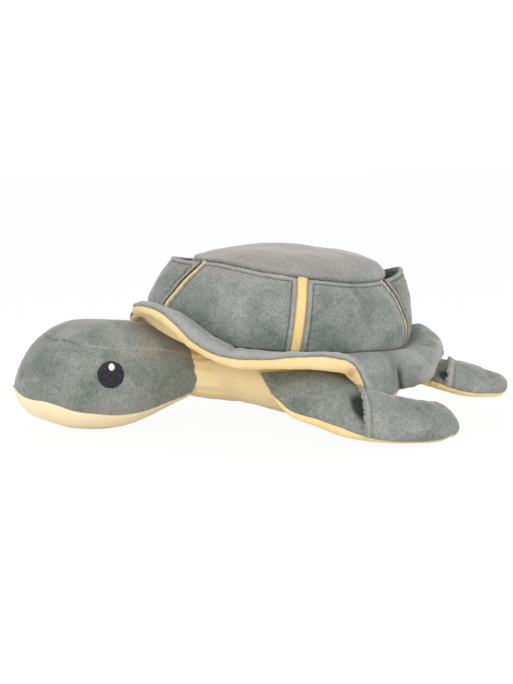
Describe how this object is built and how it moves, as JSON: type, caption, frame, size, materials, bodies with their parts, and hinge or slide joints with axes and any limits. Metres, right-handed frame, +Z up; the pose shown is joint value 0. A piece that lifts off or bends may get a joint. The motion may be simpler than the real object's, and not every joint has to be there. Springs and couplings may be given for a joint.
{
  "type": "plush sea turtle",
  "caption": "Stuffed sea turtle with a domed shell of patch pockets, a wavy brim, a turning head and flippers that flap, each with a pocket.",
  "frame": {"origin": "on the floor, at the middle of the flat patch under the belly that the turtle rests on", "axes": "+Z up, +X towards the tail, so the head points along -X; the turtle's left side is -Y"},
  "size_m": [0.3654, 0.2277, 0.1373],
  "materials": {
    "grey_plush": "short-pile plush, matt with a soft sheen",
    "cream_plush": "short-pile plush, matt",
    "fibre_fill": "loose polyester fibre",
    "black_thread": "satin-stitched thread",
    "white_thread": "satin-stitched thread"
  },
  "bodies": {
    "torso": {"belly_stuffing": "fibre_fill", "belly_panel": "cream_plush", "brim_top": "grey_plush", "brim_underside": "cream_plush", "shell_stuffing": "fibre_fill", "shell_band": "cream_plush", "shell_cap": "grey_plush", "pocket_front": "grey_plush", "pocket_front_left": "grey_plush", "pocket_rear_left": "grey_plush", "pocket_rear": "grey_plush", "pocket_rear_right": "grey_plush", "pocket_front_right": "grey_plush"},
    "neck": {"neck_stuffing": "fibre_fill", "neck_sleeve": "cream_plush"},
    "head": {"head_stuffing": "fibre_fill", "head_crown": "grey_plush", "head_side_left": "grey_plush", "head_side_right": "grey_plush", "head_chin": "cream_plush", "eye_left": "black_thread", "eye_right": "black_thread", "eye_glint_left": "white_thread", "eye_glint_right": "white_thread"},
    "front_flipper_left": {"front_flipper_left_stuffing": "fibre_fill", "front_flipper_left_underside": "cream_plush", "front_flipper_left_upper": "grey_plush", "front_flipper_left_pocket": "grey_plush"},
    "front_flipper_right": {"front_flipper_right_stuffing": "fibre_fill", "front_flipper_right_underside": "cream_plush", "front_flipper_right_upper": "grey_plush", "front_flipper_right_pocket": "grey_plush"},
    "rear_flipper_left": {"rear_flipper_left_stuffing": "fibre_fill", "rear_flipper_left_underside": "cream_plush", "rear_flipper_left_upper": "grey_plush", "rear_flipper_left_pocket": "grey_plush"},
    "rear_flipper_right": {"rear_flipper_right_stuffing": "fibre_fill", "rear_flipper_right_underside": "cream_plush", "rear_flipper_right_upper": "grey_plush", "rear_flipper_right_pocket": "grey_plush"}
  },
  "joints": [
    {"name": "head_turn", "type": "hinge", "parent": "torso", "child": "neck", "pos_m": [-0.106, 0, 0.04312], "axis": [0, 0, 1], "range_deg": [-15, 15], "stiffness_Nm_per_rad": 0.3, "deforming": ["neck_sleeve", "neck_stuffing"]},
    {"name": "head_nod", "type": "hinge", "parent": "neck", "child": "head", "pos_m": [-0.106, 0, 0.04312], "axis": [0, 1, 0], "range_deg": [-12, 2], "stiffness_Nm_per_rad": 0.5, "springref_deg": 1.72},
    {"name": "front_flipper_left_flap", "type": "hinge", "parent": "torso", "child": "front_flipper_left", "pos_m": [-0.033, -0.079, 0.053], "axis": [-1, 0, 0], "range_deg": [-1, 26], "stiffness_Nm_per_rad": 0.08},
    {"name": "rear_flipper_left_flap", "type": "hinge", "parent": "torso", "child": "rear_flipper_left", "pos_m": [0.05303, -0.02443, 0.039], "axis": [-0.1812, -0.9834, 0], "range_deg": [-18, 18], "stiffness_Nm_per_rad": 0.06, "springref_deg": 1.15},
    {"name": "front_flipper_right_flap", "type": "hinge", "parent": "torso", "child": "front_flipper_right", "pos_m": [-0.033, 0.079, 0.053], "axis": [1, 0, 0], "range_deg": [-1, 26], "stiffness_Nm_per_rad": 0.08},
    {"name": "rear_flipper_right_flap", "type": "hinge", "parent": "torso", "child": "rear_flipper_right", "pos_m": [0.05303, 0.02443, 0.039], "axis": [0.1812, -0.9834, 0], "range_deg": [-18, 18], "stiffness_Nm_per_rad": 0.06, "springref_deg": 1.15}
  ]
}
